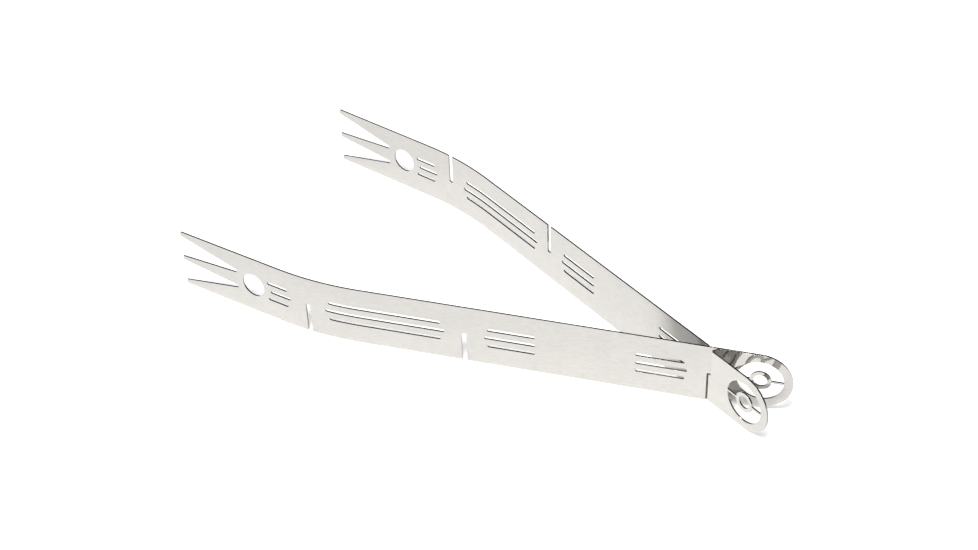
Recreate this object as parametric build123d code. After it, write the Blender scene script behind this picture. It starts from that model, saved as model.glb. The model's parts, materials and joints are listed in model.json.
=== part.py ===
from build123d import *
import os
from math import cos, pi, radians, sin

# Knock-down barbecue tongs: two identical spring-steel sheet arms, plugged together by their
# end slots into an X.  The object stands on the arms' lower long edges.
#
# Frame: origin on the axis where the arms cross, at floor level.  +Z is up, the tines point
# towards -X, the ring tails towards +X, the left arm's fork is on the -Y side.
#
# Every arm is drawn flat first.  Station u runs along the sheet from the crossing slot towards
# the tines, height v runs across the sheet from its slotted edge.  All sizes are in mm.

# Sheet
ARM_WIDTH = 32.0
SHEET = 0.8
CROSSING_ANGLE = 37.0          # degrees at rest, just short of where the slots bind on the sheets

# Bend that turns the fork inwards
BEND_ANGLE = 16.0
BEND_RADIUS = 155.0            # to the middle of the sheet
BEND_CENTRE_U = 190.0

# Half-width slots, all open at the slotted edge: the first makes the cross-lap joint
SLOT_STATIONS = (0.0, 117.0, 196.0)
SLOT_WIDTH = 2.4
SLOT_DEPTH = 16.3

# Three-row slit groups: end stations of the two outer rows, then of the middle row
SLIT_GROUPS = (
    ((11.5, 34.5), (10.3, 34.5)),
    ((82.3, 105.5), (82.3, 107.0)),
    ((128.5, 184.7), (126.5, 186.6)),
    ((207.6, 219.5), (205.9, 217.8)),
)
SLIT_HEIGHT = 1.6
ROW_PITCH = 4.8
ROW_AXIS_V = 15.8

# Fork
TIP_U = 272.0
TINE_TIP_WIDTH = 2.2
TIP_RADIUS = 0.8
GULLET_U = 238.0               # bottom of the V cuts between the tines
GULLET_OFFSET_V = 4.8          # from the middle of the sheet to the bottom of either V
GULLET_RADIUS = 1.0
PALM_HOLE_U = 228.3
PALM_HOLE_RADIUS = 6.4

# Ring tail
TAIL_STEP = 2.0                # the tail's slotted edge stands back from the arm's
RING_U = -23.4
WINDOW_RADIUS = 10.8
HUB_RADIUS = 5.1
HUB_HOLE_RADIUS = 3.2
SPOKE_WIDTH = 1.0

# The sheet flexes between crossing and fork.  Each arm is stored as a tail and a blade, parted
# at the middle of that flexing stretch by a cut just wide enough for the blade to swing.
FLEX_U = 40.0
FLEX_GAP = 0.24

# Values that follow from the sizes above
BEND_LENGTH = BEND_RADIUS * radians(BEND_ANGLE)
BEND_START_U = BEND_CENTRE_U - BEND_LENGTH / 2
BEND_END_U = BEND_CENTRE_U + BEND_LENGTH / 2
RING_RADIUS = (ARM_WIDTH - TAIL_STEP) / 2
RING_V = TAIL_STEP + RING_RADIUS
CUT_REACH = 4.0                # how far a cutter reaches to each side of the sheet


def mid_sheet(u):
    """Place and heading (x, y, degrees) of the sheet's middle at station u."""
    if u <= BEND_START_U:
        return u, 0.0, 0.0
    turned = min((u - BEND_START_U) / BEND_RADIUS, radians(BEND_ANGLE))
    beyond = max(u - BEND_END_U, 0.0)
    x = BEND_START_U + BEND_RADIUS * sin(turned) + beyond * cos(turned)
    y = -BEND_RADIUS * (1 - cos(turned)) - beyond * sin(turned)
    return x, y, -turned * 180 / pi


def sheet_plane(u):
    """Plane in the middle of the sheet at station u: local x along the sheet, local y up."""
    x, y, heading = mid_sheet(u)
    turn = radians(heading)
    return Plane(origin=(x, y, 0), x_dir=(cos(turn), sin(turn), 0), z_dir=(sin(turn), -cos(turn), 0))


def cutter(u, outline):
    """Solid that cuts an outline, drawn around station u, square through the sheet."""
    return extrude(sheet_plane(u) * outline, amount=CUT_REACH, both=True)


def block(u_from, u_to, v_from, v_to):
    """Plain rectangle between two stations and two heights."""
    centre = ((u_from + u_to) / 2, (v_from + v_to) / 2)
    return Pos(*centre) * Rectangle(u_to - u_from, v_to - v_from)


def slit_rows(group, u):
    """The three round-ended slits of a group, drawn around station u."""
    outer, middle = group
    rows = Sketch()
    for row, ends in ((-1, outer), (0, middle), (1, outer)):
        centre_u = (ends[0] + ends[1]) / 2 - u
        centre_v = ROW_AXIS_V + row * ROW_PITCH
        rows += Pos(centre_u, centre_v) * SlotOverall(ends[1] - ends[0], SLIT_HEIGHT)
    return rows


def slot_outline():
    """A half-width slot with a round bottom, drawn around its own station."""
    straight = block(-SLOT_WIDTH / 2, SLOT_WIDTH / 2, -1, SLOT_DEPTH)
    return fillet(straight.vertices().group_by(Axis.Y)[-1], SLOT_WIDTH / 4)


def gullet_outline(middle_v, tine_low, tine_high):
    """Round-bottomed V between two tines.

    middle_v is the height of its bottom, tine_low and tine_high are the heights of its mouth.
    """
    mouth_u = TIP_U - GULLET_U
    run = mouth_u - GULLET_RADIUS
    low, high = middle_v - GULLET_RADIUS, middle_v + GULLET_RADIUS
    past = (run + CUT_REACH) / run       # the V runs on past the tips, so that it opens cleanly
    sides = Polygon(
        (GULLET_RADIUS, low),
        (mouth_u + CUT_REACH, low + (tine_low - low) * past),
        (mouth_u + CUT_REACH, high + (tine_high - high) * past),
        (GULLET_RADIUS, high),
        align=None,
    )
    return sides + Pos(GULLET_RADIUS, middle_v) * Circle(GULLET_RADIUS)


def fork_blank():
    """Outline that keeps the palm and rounds the fork's outer corners at the tips."""
    blank = block(-1, TIP_U - GULLET_U, 0, ARM_WIDTH)
    return fillet(blank.vertices().group_by(Axis.X)[-1], TIP_RADIUS)


def tail_sheet():
    """Ring tail, cross-lap slot and stem, up to the cut in the flexing stretch."""
    stem = block(-SLOT_WIDTH / 2, FLEX_U - FLEX_GAP / 2, 0, ARM_WIDTH)
    neck = block(RING_U, 0, TAIL_STEP, ARM_WIDTH)
    ring_centre = Pos(RING_U, RING_V)
    outline = stem + neck + ring_centre * Circle(RING_RADIUS)
    outline -= block(-SLOT_WIDTH / 2, SLOT_WIDTH / 2, 0, SLOT_DEPTH)
    window = Circle(WINDOW_RADIUS) - Circle(HUB_RADIUS)
    window -= Rectangle(2 * WINDOW_RADIUS, SPOKE_WIDTH)
    outline -= ring_centre * window
    outline -= ring_centre * Circle(HUB_HOLE_RADIUS)
    outline -= slit_rows(SLIT_GROUPS[0], 0)
    return extrude(sheet_plane(0) * outline, amount=SHEET / 2, both=True)


def bent_strip():
    """Plain strip of the blade: straight, the inward bend, and straight to the tips."""
    lines = []
    for side in (SHEET / 2, -SHEET / 2):
        start = (FLEX_U + FLEX_GAP / 2, side)
        bend_start = (BEND_START_U, side)
        radius = BEND_RADIUS + side
        turn = radians(BEND_ANGLE)
        centre_y = -BEND_RADIUS
        middle = (BEND_START_U + radius * sin(turn / 2), centre_y + radius * cos(turn / 2))
        end = (BEND_START_U + radius * sin(turn), centre_y + radius * cos(turn))
        reach = TIP_U - BEND_END_U
        tip = (end[0] + reach * cos(turn), end[1] - reach * sin(turn))
        lines.append((start, bend_start, middle, end, tip))
    outer, inner = lines
    edges = [
        Line(outer[0], outer[1]),
        ThreePointArc(outer[1], outer[2], outer[3]),
        Line(outer[3], outer[4]),
        Line(outer[4], inner[4]),
        Line(inner[4], inner[3]),
        ThreePointArc(inner[3], inner[2], inner[1]),
        Line(inner[1], inner[0]),
        Line(inner[0], outer[0]),
    ]
    return extrude(make_face(edges), amount=ARM_WIDTH)


def blade_sheet():
    """Blade with its slots, slits, palm hole and three tines."""
    blade = bent_strip()
    for u in SLOT_STATIONS[1:]:
        blade -= cutter(u, slot_outline())
    for group in SLIT_GROUPS[1:]:
        u = (group[0][0] + group[0][1]) / 2
        blade -= cutter(u, slit_rows(group, u))
    blade -= cutter(PALM_HOLE_U, Pos(0, ROW_AXIS_V) * Circle(PALM_HOLE_RADIUS))
    middle = ARM_WIDTH / 2
    lower_mouth = (TINE_TIP_WIDTH, middle - TINE_TIP_WIDTH / 2)
    upper_mouth = (middle + TINE_TIP_WIDTH / 2, ARM_WIDTH - TINE_TIP_WIDTH)
    blade -= cutter(GULLET_U, gullet_outline(middle - GULLET_OFFSET_V, *lower_mouth))
    blade -= cutter(GULLET_U, gullet_outline(middle + GULLET_OFFSET_V, *upper_mouth))
    corners = block(-1, TIP_U - GULLET_U + 1, -1, ARM_WIDTH + 1) - fork_blank()
    return blade - cutter(GULLET_U, corners)


def place_left(shape):
    """The left arm stands with its slots open downwards."""
    return Rot(0, 0, 180 + CROSSING_ANGLE / 2) * shape


def place_right(shape):
    """The right arm is the same sheet turned over about its length: slots open upwards."""
    return Rot(0, 0, 180 - CROSSING_ANGLE / 2) * Pos(0, 0, ARM_WIDTH) * Rot(180, 0, 0) * shape


tail = tail_sheet()
blade = blade_sheet()
pieces = {
    "left_arm_tail": place_left(tail),
    "left_arm_blade": place_left(blade),
    "right_arm_tail": place_right(tail),
    "right_arm_blade": place_right(blade),
}

os.makedirs("parts", exist_ok=True)
for name, shape in pieces.items():
    solids = shape.solids()
    export_step(solids[0] if len(solids) == 1 else Compound(children=solids), f"parts/{name}.step")
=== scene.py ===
import json
from math import atan2, cos, degrees, hypot, pi, radians, sin

import bmesh
import bpy
from mathutils import Matrix, Vector


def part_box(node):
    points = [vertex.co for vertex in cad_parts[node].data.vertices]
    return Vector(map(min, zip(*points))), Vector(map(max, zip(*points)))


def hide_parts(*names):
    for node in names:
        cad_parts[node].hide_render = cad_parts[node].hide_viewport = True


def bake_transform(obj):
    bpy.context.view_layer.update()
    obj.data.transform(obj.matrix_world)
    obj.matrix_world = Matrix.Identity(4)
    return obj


# Knock-down barbecue tongs.  Each arm is one unbroken sheet of stainless steel, so each arm is built
# here as one mesh that stands for its two CAD nodes and bends between their two bodies.
#
# Lengths are in metres.  An arm is drawn flat first: station u runs along the sheet from the crossing
# slot towards the tines, height v runs across it from its slotted edge.
MM = 0.001

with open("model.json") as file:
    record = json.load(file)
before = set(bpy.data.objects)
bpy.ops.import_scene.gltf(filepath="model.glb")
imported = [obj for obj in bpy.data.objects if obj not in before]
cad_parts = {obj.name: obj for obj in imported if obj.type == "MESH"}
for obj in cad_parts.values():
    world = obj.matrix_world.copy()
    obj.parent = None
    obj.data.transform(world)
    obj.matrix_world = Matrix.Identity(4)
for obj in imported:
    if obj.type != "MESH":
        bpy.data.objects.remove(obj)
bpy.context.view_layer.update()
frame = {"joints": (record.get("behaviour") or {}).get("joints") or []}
joints = {joint["name"]: joint for joint in frame["joints"]}

# ---- sizes read from the frame ----
ARM_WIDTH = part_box("left_arm_blade")[1].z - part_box("left_arm_blade")[0].z
FLEX_POINT = Vector(joints["left_arm_flex"]["pos_m"])
FLEX_U = hypot(FLEX_POINT.x, FLEX_POINT.y)
HALF_CROSSING = atan2(-FLEX_POINT.y, -FLEX_POINT.x)

# ---- the flat sheet ----
SHEET = 0.8 * MM
EDGE_ROUND = 0.04 * MM
BEND_ANGLE = radians(16)
BEND_RADIUS = 155 * MM
BEND_CENTRE_U = 190 * MM
SLOT_STATIONS = (0, 117 * MM, 196 * MM)
SLOT_WIDTH = 2.4 * MM
SLOT_DEPTH = 16.3 * MM
SLOT_CORNER = 0.6 * MM
# end stations of each slit group's two outer rows, then of its middle row, in mm
SLIT_GROUPS = (
    ((11.5, 34.5), (10.3, 34.5)),
    ((82.3, 105.5), (82.3, 107.0)),
    ((128.5, 184.7), (126.5, 186.6)),
    ((207.6, 219.5), (205.9, 217.8)),
)
SLIT_HEIGHT = 1.6 * MM
ROW_PITCH = 4.8 * MM
ROW_AXIS_V = 15.8 * MM
TIP_U = 272 * MM
TINE_TIP_WIDTH = 2.2 * MM
TIP_RADIUS = 0.8 * MM
GULLET_U = 238 * MM
GULLET_OFFSET_V = 4.8 * MM
GULLET_RADIUS = 1.0 * MM
PALM_HOLE_U = 228.3 * MM
PALM_HOLE_RADIUS = 6.4 * MM
TAIL_STEP = 2 * MM
RING_U = -23.4 * MM
RING_RADIUS = (ARM_WIDTH - TAIL_STEP) / 2
RING_V = TAIL_STEP + RING_RADIUS
WINDOW_RADIUS = 10.8 * MM
HUB_RADIUS = 5.1 * MM
HUB_HOLE_RADIUS = 3.2 * MM
SPOKE_WIDTH = 1.0 * MM

BEND_START_U = BEND_CENTRE_U - BEND_RADIUS * BEND_ANGLE / 2
BEND_END_U = BEND_CENTRE_U + BEND_RADIUS * BEND_ANGLE / 2
FLEX_REACH = 34 * MM           # the sheet flexes this far to each side of the flex point
FLEX_STEP = 2 * MM             # cross cuts through the flexing stretch
BEND_STEP = 1.2 * MM           # cross cuts through the formed bend


# ---- outlines in the flat sheet ----
CHORD = 0.25 * MM              # length of the straight pieces that an arc is made of
FEWEST_CHORDS = 6


def arc(centre_u, centre_v, radius, start, stop):
    """Points on an arc; angles in degrees, anticlockwise when stop is above start."""
    sweep = radians(stop - start)
    count = max(FEWEST_CHORDS, round(abs(sweep) * radius / CHORD))
    turns = (radians(start) + sweep * i / count for i in range(count + 1))
    return [(centre_u + radius * cos(a), centre_v + radius * sin(a)) for a in turns]


def slot_path(u, edge_before):
    """The slot at station u, walked towards the tines, from the edge height just before it."""
    half = SLOT_WIDTH / 2
    inner = half - SLOT_CORNER
    top = SLOT_DEPTH - SLOT_CORNER
    return (
        [(u - half, edge_before)]
        + arc(u - inner, top, SLOT_CORNER, 180, 90)
        + arc(u + inner, top, SLOT_CORNER, 90, 0)
        + [(u + half, 0)]
    )


def gullet_path(bottom_v, low, high):
    """The V between two tines, from its mouth's lower side to its upper side.

    Its rounded bottom is at height bottom_v, and its mouth opens from low to high.
    """
    return (
        [(TIP_U, low)]
        + arc(GULLET_U + GULLET_RADIUS, bottom_v, GULLET_RADIUS, 270, 90)
        + [(TIP_U, high)]
    )


def arm_outline():
    """The whole outline, anticlockwise from the foot of the ring tail."""
    middle = ARM_WIDTH / 2
    middle_low = middle - TINE_TIP_WIDTH / 2
    middle_high = middle + TINE_TIP_WIDTH / 2
    path = slot_path(SLOT_STATIONS[0], TAIL_STEP)
    for u in SLOT_STATIONS[1:]:
        path += slot_path(u, 0)
    path += arc(TIP_U - TIP_RADIUS, TIP_RADIUS, TIP_RADIUS, -90, 0)
    path += gullet_path(middle - GULLET_OFFSET_V, TINE_TIP_WIDTH, middle_low)
    path += gullet_path(middle + GULLET_OFFSET_V, middle_high, ARM_WIDTH - TINE_TIP_WIDTH)
    path += arc(TIP_U - TIP_RADIUS, ARM_WIDTH - TIP_RADIUS, TIP_RADIUS, 0, 90)
    path += arc(RING_U, RING_V, RING_RADIUS, 90, 270)
    return path


def slit_path(start_u, end_u, v):
    """A round-ended slit, clockwise."""
    radius = SLIT_HEIGHT / 2
    return arc(end_u - radius, v, radius, 90, -90) + arc(start_u + radius, v, radius, -90, -270)


def window_path(side):
    """Half of the ring's window, above (side 1) or below (side -1) the spokes, clockwise."""
    outer = degrees(atan2(SPOKE_WIDTH / 2, WINDOW_RADIUS))
    inner = degrees(atan2(SPOKE_WIDTH / 2, HUB_RADIUS))
    shift = 0 if side == 1 else 180
    return (
        arc(RING_U, RING_V, WINDOW_RADIUS, 180 - outer + shift, outer + shift)
        + arc(RING_U, RING_V, HUB_RADIUS, inner + shift, 180 - inner + shift)
    )


def hole_outlines():
    """Every closed hole, clockwise, so that its rounded rim turns into the sheet."""
    holes = [window_path(1), window_path(-1)]
    holes.append(arc(RING_U, RING_V, HUB_HOLE_RADIUS, 360, 0)[:-1])
    holes.append(arc(PALM_HOLE_U, ROW_AXIS_V, PALM_HOLE_RADIUS, 360, 0)[:-1])
    for outer, middle in SLIT_GROUPS:
        for row, ends in ((-1, outer), (0, middle), (1, outer)):
            holes.append(slit_path(ends[0] * MM, ends[1] * MM, ROW_AXIS_V + row * ROW_PITCH))
    return holes


# ---- from outlines to a mesh ----
FACE_SLOT, CUT_SLOT = 0, 1     # material slots of the rolled faces and of the cut walls
WELD = 2e-6                    # points closer than this are one point
FLAT_ANGLE = radians(0.05)     # faces that meet at less than this are one face
SLIVER_AREA = 1.5e-11          # square metres
SLIVER_ROUNDS = 3              # turning one sliver can leave another beside it
WALL_NORMAL_Y = 0.95           # a face less square to the thickness than this is a cut wall
UV_NAME = "sheet"              # the map holds each point's place (u, v) in the flat sheet


def flat_sheet_mesh():
    """The flat sheet with rounded rims: u on x, thickness on y, v on z.

    The outlines are filled as a curve in millimetres, since the fill's own tolerance is coarse.
    """
    curve = bpy.data.curves.new("flat_sheet", "CURVE")
    curve.dimensions = "2D"
    curve.fill_mode = "BOTH"
    curve.extrude = (SHEET / 2 - EDGE_ROUND) / MM
    curve.bevel_depth = EDGE_ROUND / MM
    curve.bevel_resolution = 1
    curve.offset = -EDGE_ROUND / MM
    for path in [arm_outline()] + hole_outlines():
        spline = curve.splines.new("POLY")
        spline.points.add(len(path) - 1)
        for point, (u, v) in zip(spline.points, path):
            point.co = (u / MM, v / MM, 0, 1)
        spline.use_cyclic_u = True
    holder = bpy.data.objects.new("flat_sheet", curve)
    bpy.context.scene.collection.objects.link(holder)
    bpy.context.view_layer.update()
    evaluated = holder.evaluated_get(bpy.context.evaluated_depsgraph_get())
    mesh = bpy.data.meshes.new_from_object(evaluated)
    bpy.data.objects.remove(holder)
    stand_up = Matrix.Rotation(radians(90), 4, "X") @ Matrix.Scale(MM, 4)
    mesh.transform(stand_up)
    return mesh


def cross_cuts(body, start_u, stop_u, step):
    """Cut the sheet across at even stations, so that it can curve there."""
    count = max(1, round((stop_u - start_u) / step))
    for i in range(count + 1):
        u = start_u + (stop_u - start_u) * i / count
        everything = body.verts[:] + body.edges[:] + body.faces[:]
        bmesh.ops.bisect_plane(
            body, geom=everything, dist=WELD, plane_co=(u, 0, 0), plane_no=(1, 0, 0)
        )


def mid_sheet(u):
    """Place and heading (x, y, radians) of the formed sheet's middle at station u."""
    if u <= BEND_START_U:
        return u, 0.0, 0.0
    turned = min((u - BEND_START_U) / BEND_RADIUS, BEND_ANGLE)
    beyond = max(u - BEND_END_U, 0.0)
    x = BEND_START_U + BEND_RADIUS * sin(turned) + beyond * cos(turned)
    y = -BEND_RADIUS * (1 - cos(turned)) - beyond * sin(turned)
    return x, y, -turned


def formed(co):
    """Where a point of the flat sheet goes when the fork is bent inwards."""
    x, y, heading = mid_sheet(co.x)
    return Vector((x - co.y * sin(heading), y + co.y * cos(heading), co.z))


def is_curved(u):
    """Whether the sheet is formed or flexes at station u, so that its faces are shaded as a curve."""
    return abs(u - FLEX_U) < FLEX_REACH or BEND_START_U < u < BEND_END_U


def turn_slivers(body):
    """Turn the longest edge of each triangle without area, so that the triangle gains area."""
    for _ in range(SLIVER_ROUNDS):
        slivers = [face for face in body.faces if face.calc_area() < SLIVER_AREA]
        longest = [max(face.edges, key=lambda edge: edge.calc_length()) for face in slivers]
        bmesh.ops.rotate_edges(body, edges=list(dict.fromkeys(longest)), use_ccw=False)


def arm_mesh(name, placing, grain_shift):
    """One arm: the flat sheet cut across, laid out for its materials, formed and put in place.

    The grain shift moves the arm along in its materials, so that the two arms' grain differs.
    """
    mesh = flat_sheet_mesh()
    mesh.name = name
    body = bmesh.new()
    body.from_mesh(mesh)
    bmesh.ops.remove_doubles(body, verts=body.verts, dist=WELD)
    bmesh.ops.dissolve_limit(body, angle_limit=FLAT_ANGLE, verts=body.verts, edges=body.edges)
    cross_cuts(body, FLEX_U - FLEX_REACH, FLEX_U + FLEX_REACH, FLEX_STEP)
    cross_cuts(body, BEND_START_U, BEND_END_U, BEND_STEP)
    many_sided = [face for face in body.faces if len(face.verts) > 4]
    bmesh.ops.triangulate(body, faces=many_sided, ngon_method="BEAUTY")
    bmesh.ops.dissolve_degenerate(body, edges=body.edges, dist=WELD)
    turn_slivers(body)
    bmesh.ops.recalc_face_normals(body, faces=body.faces)
    sheet_map = body.loops.layers.uv.new(UV_NAME)
    for face in body.faces:
        is_wall = abs(face.normal.y) < WALL_NORMAL_Y
        face.smooth = is_wall or is_curved(face.calc_center_median().x)
        face.material_index = CUT_SLOT if is_wall else FACE_SLOT
        for loop in face.loops:
            loop[sheet_map].uv = (loop.vert.co.x + grain_shift, loop.vert.co.z)
    for vert in body.verts:
        vert.co = placing @ formed(vert.co)
    body.to_mesh(mesh)
    body.free()
    return mesh


LARGE_FACES_LEAD = 100         # the modifier's top weight: a shared normal follows its largest face


def build_arm(side, placing, grain_shift, materials):
    """An arm as one piece that bends between the bodies of its tail and its blade."""
    mesh = arm_mesh(f"{side}_arm", placing, grain_shift)
    for material in materials:
        mesh.materials.append(material)
    arm = bpy.data.objects.new(f"{side}_arm_sheet", mesh)
    bpy.context.scene.collection.objects.link(arm)
    normals = arm.modifiers.new("face_weighted_normals", "WEIGHTED_NORMAL")
    normals.keep_sharp = True
    normals.weight = LARGE_FACES_LEAD
    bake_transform(arm)
    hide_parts(f"{side}_arm_tail", f"{side}_arm_blade")
    return arm


# ---- materials ----
STEEL_TINTS = ((0.439, 0.427, 0.407, 1), (0.502, 0.488, 0.465, 1))
CUT_TINTS = ((0.20, 0.185, 0.175, 1), (0.34, 0.32, 0.305, 1))
FLOOR_TINTS = ((0.90, 0.90, 0.90, 1), (0.93, 0.93, 0.93, 1))
FLOOR_GLOW = 0.42              # the floor is a light table, so that shadows on it stay faint
NOISE_LOW, NOISE_HIGH = 0.3, 0.7


def new_material(name):
    material = bpy.data.materials.new(name)
    material.use_nodes = True
    tree = material.node_tree
    return material, tree, tree.nodes["Principled BSDF"]


def stretched_noise(tree, coordinates, scale, detail):
    """Noise whose scale gives its repeats per metre along each of the first two coordinates."""
    mapping = tree.nodes.new("ShaderNodeMapping")
    mapping.inputs["Scale"].default_value = (scale[0], scale[1], 1)
    noise = tree.nodes.new("ShaderNodeTexNoise")
    noise.inputs["Scale"].default_value = 1.0
    noise.inputs["Detail"].default_value = detail
    tree.links.new(coordinates, mapping.inputs["Vector"])
    tree.links.new(mapping.outputs["Vector"], noise.inputs["Vector"])
    return noise.outputs["Fac"]


def remap(tree, value, low, high):
    """The range in which noise mostly lies, mapped to low..high."""
    node = tree.nodes.new("ShaderNodeMapRange")
    node.inputs["From Min"].default_value = NOISE_LOW
    node.inputs["From Max"].default_value = NOISE_HIGH
    node.inputs["To Min"].default_value = low
    node.inputs["To Max"].default_value = high
    tree.links.new(value, node.inputs["Value"])
    return node.outputs["Result"]


def total(tree, first, second):
    node = tree.nodes.new("ShaderNodeMath")
    node.operation = "ADD"
    tree.links.new(first, node.inputs[0])
    tree.links.new(second, node.inputs[1])
    return node.outputs["Value"]


def sheet_coordinates(tree):
    node = tree.nodes.new("ShaderNodeUVMap")
    node.uv_map = UV_NAME
    return node.outputs["UV"]


def colour_between(tree, shader, tints, factor):
    """Base colour that goes from the first tint to the second as the factor goes from 0 to 1."""
    mix = tree.nodes.new("ShaderNodeMix")
    mix.data_type = "RGBA"
    mix.inputs["A"].default_value = tints[0]
    mix.inputs["B"].default_value = tints[1]
    tree.links.new(factor, mix.inputs["Factor"])
    tree.links.new(mix.outputs["Result"], shader.inputs["Base Color"])


def relief(tree, shader, height, strength, distance):
    """Surface relief, distance metres high, by bump."""
    bump = tree.nodes.new("ShaderNodeBump")
    bump.inputs["Strength"].default_value = strength
    bump.inputs["Distance"].default_value = distance
    tree.links.new(height, bump.inputs["Height"])
    tree.links.new(bump.outputs["Normal"], shader.inputs["Normal"])


def stretch_highlights(tree, shader):
    """Highlights drawn out across the rolling direction."""
    shader.inputs["Anisotropic"].default_value = 0.3
    shader.inputs["Anisotropic Rotation"].default_value = 0.25
    tangent = tree.nodes.new("ShaderNodeTangent")
    tangent.direction_type = "UV_MAP"
    tangent.uv_map = UV_NAME
    tree.links.new(tangent.outputs["Tangent"], shader.inputs["Tangent"])


def satin_steel():
    """Rolled stainless sheet: satin, with grain and faint streaks along the arm, and cloudiness."""
    material, tree, shader = new_material("satin_stainless")
    flat = sheet_coordinates(tree)
    grain = stretched_noise(tree, flat, (60, 9000), 2.0)
    scratches = stretched_noise(tree, flat, (150, 2600), 4.0)
    clouds = stretched_noise(tree, flat, (55, 70), 2.0)
    streaks = stretched_noise(tree, flat, (260, 900), 3.0)
    shade = total(tree, remap(tree, clouds, 0, 0.35), remap(tree, streaks, 0, 0.65))
    colour_between(tree, shader, STEEL_TINTS, shade)
    shader.inputs["Metallic"].default_value = 1.0
    cloudy = remap(tree, clouds, 0.06, 0.075)
    scratchy = remap(tree, scratches, -0.02, 0.03)
    tree.links.new(total(tree, cloudy, scratchy), shader.inputs["Roughness"])
    stretch_highlights(tree, shader)
    relief(tree, shader, total(tree, grain, scratches), strength=0.05, distance=0.02 * MM)
    return material


def cut_steel():
    """Laser-cut wall of the sheet: darker than its faces, with ripples across its thickness."""
    material, tree, shader = new_material("laser_cut_steel")
    flat = sheet_coordinates(tree)
    ripples = stretched_noise(tree, flat, (4200, 4200), 1.0)
    patches = stretched_noise(tree, flat, (220, 220), 2.0)
    colour_between(tree, shader, CUT_TINTS, remap(tree, patches, 0, 1))
    shader.inputs["Metallic"].default_value = 1.0
    tree.links.new(remap(tree, ripples, 0.10, 0.18), shader.inputs["Roughness"])
    relief(tree, shader, ripples, strength=0.12, distance=0.04 * MM)
    return material


def floor_material():
    """White acrylic of a light table."""
    material, tree, shader = new_material("light_table")
    coordinates = tree.nodes.new("ShaderNodeTexCoord").outputs["Object"]
    mottle = stretched_noise(tree, coordinates, (8, 8), 2.0)
    colour_between(tree, shader, FLOOR_TINTS, remap(tree, mottle, 0, 1))
    shader.inputs["Roughness"].default_value = 0.9
    shader.inputs["Specular IOR Level"].default_value = 0.1
    shader.inputs["Emission Color"].default_value = (1, 1, 1, 1)
    shader.inputs["Emission Strength"].default_value = FLOOR_GLOW
    return material


# ---- studio ----
FLOOR_HALF = 4.0
FLOOR_GAP = 0.1 * MM           # keeps the floor clear of the arms' lower edges
# the y part of a direction, 0 for all that is in front and 1 straight behind, and the light from there
ROOM_LIGHT = ((0.0, 0.45), (0.10, 0.2), (0.3, 0.012), (1.0, 0.01))
ROOM_TINT = (1, 1, 0.99)
CAMERA_AZIMUTH = radians(35.727)
CAMERA_ELEVATION = radians(38.509)
CAMERA_ROLL = radians(2.084)
CAMERA_DISTANCE = 0.872
CAMERA_AIM = Vector((-0.0980, -0.0332, 0.0540))
LENS_MM = 70.29
SENSOR_WIDTH_MM = 36


def build_floor():
    mesh = bpy.data.meshes.new("floor")
    half = FLOOR_HALF
    corners = [(-half, -half, 0), (half, -half, 0), (half, half, 0), (-half, half, 0)]
    mesh.from_pydata(corners, [], [(0, 1, 2, 3)])
    mesh.materials.append(floor_material())
    floor = bpy.data.objects.new("floor", mesh)
    floor.location.z = -FLOOR_GAP
    bpy.context.scene.collection.objects.link(floor)


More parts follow.
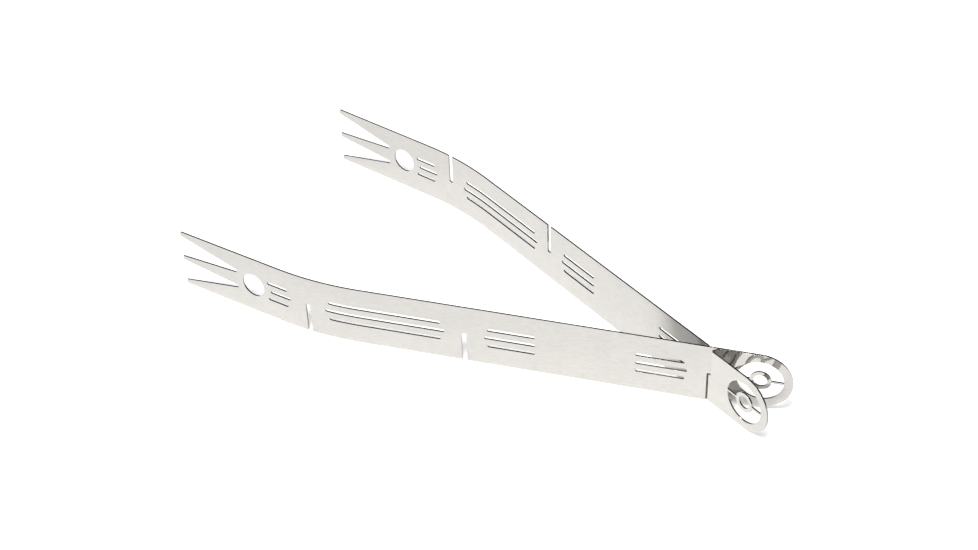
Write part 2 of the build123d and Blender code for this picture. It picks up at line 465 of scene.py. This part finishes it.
def build_world():
    """Studio surroundings: a lit room in front of the object, near darkness behind it."""
    world = bpy.data.worlds.new("studio")
    world.use_nodes = True
    bpy.context.scene.world = world
    tree = world.node_tree
    coordinates = tree.nodes.new("ShaderNodeTexCoord").outputs["Generated"]
    separate = tree.nodes.new("ShaderNodeSeparateXYZ")
    ramp = tree.nodes.new("ShaderNodeValToRGB")
    ramp.color_ramp.elements[0].position = ROOM_LIGHT[0][0]
    ramp.color_ramp.elements[1].position = ROOM_LIGHT[-1][0]
    for position, _ in ROOM_LIGHT[1:-1]:
        ramp.color_ramp.elements.new(position)
    for element, (_, light) in zip(ramp.color_ramp.elements, ROOM_LIGHT):
        element.color = (*(light * part for part in ROOM_TINT), 1)
    tree.links.new(coordinates, separate.inputs["Vector"])
    tree.links.new(separate.outputs["Y"], ramp.inputs["Fac"])
    tree.links.new(ramp.outputs["Color"], tree.nodes["Background"].inputs["Color"])


def softbox(name, place, target, size, power):
    """A rectangular area light at a place, turned towards its target; size in metres, power in watts."""
    light = bpy.data.lights.new(name, "AREA")
    light.shape = "RECTANGLE"
    light.size, light.size_y = size
    light.energy = power
    lamp = bpy.data.objects.new(name, light)
    lamp.location = place
    lamp.rotation_euler = (Vector(target) - Vector(place)).to_track_quat("-Z", "Y").to_euler()
    bpy.context.scene.collection.objects.link(lamp)


def build_camera():
    """Camera on a sphere round its aiming point, at the reference view's angle."""
    level = cos(CAMERA_ELEVATION)
    back = Vector(
        (sin(CAMERA_AZIMUTH) * level, -cos(CAMERA_AZIMUTH) * level, sin(CAMERA_ELEVATION))
    )
    camera = bpy.data.cameras.new("camera")
    camera.lens = LENS_MM
    camera.sensor_width = SENSOR_WIDTH_MM
    holder = bpy.data.objects.new("camera", camera)
    place = Matrix.Translation(CAMERA_AIM + back * CAMERA_DISTANCE)
    facing = back.to_track_quat("Z", "Y").to_matrix().to_4x4()
    holder.matrix_world = place @ facing @ Matrix.Rotation(-CAMERA_ROLL, 4, "Z")
    bpy.context.scene.collection.objects.link(holder)
    bpy.context.scene.camera = holder


# ---- the object ----
steel = (satin_steel(), cut_steel())
turn_over = Matrix.Translation((0, 0, ARM_WIDTH)) @ Matrix.Rotation(pi, 4, "X")
left_place = Matrix.Rotation(pi + HALF_CROSSING, 4, "Z")
right_place = Matrix.Rotation(pi - HALF_CROSSING, 4, "Z") @ turn_over
build_arm("left", left_place, grain_shift=0.0, materials=steel)
build_arm("right", right_place, grain_shift=0.6, materials=steel)

build_floor()
build_world()
lit_point = (-0.1, 0, 0)
softbox("overhead_softbox", (-0.1, -0.45, 2.0), lit_point, size=(2.6, 1.8), power=17)
softbox("front_key", (0.175, -0.852, 2.01), lit_point, size=(0.6, 0.5), power=37)
build_camera()
bpy.context.scene.view_settings.view_transform = "Standard"
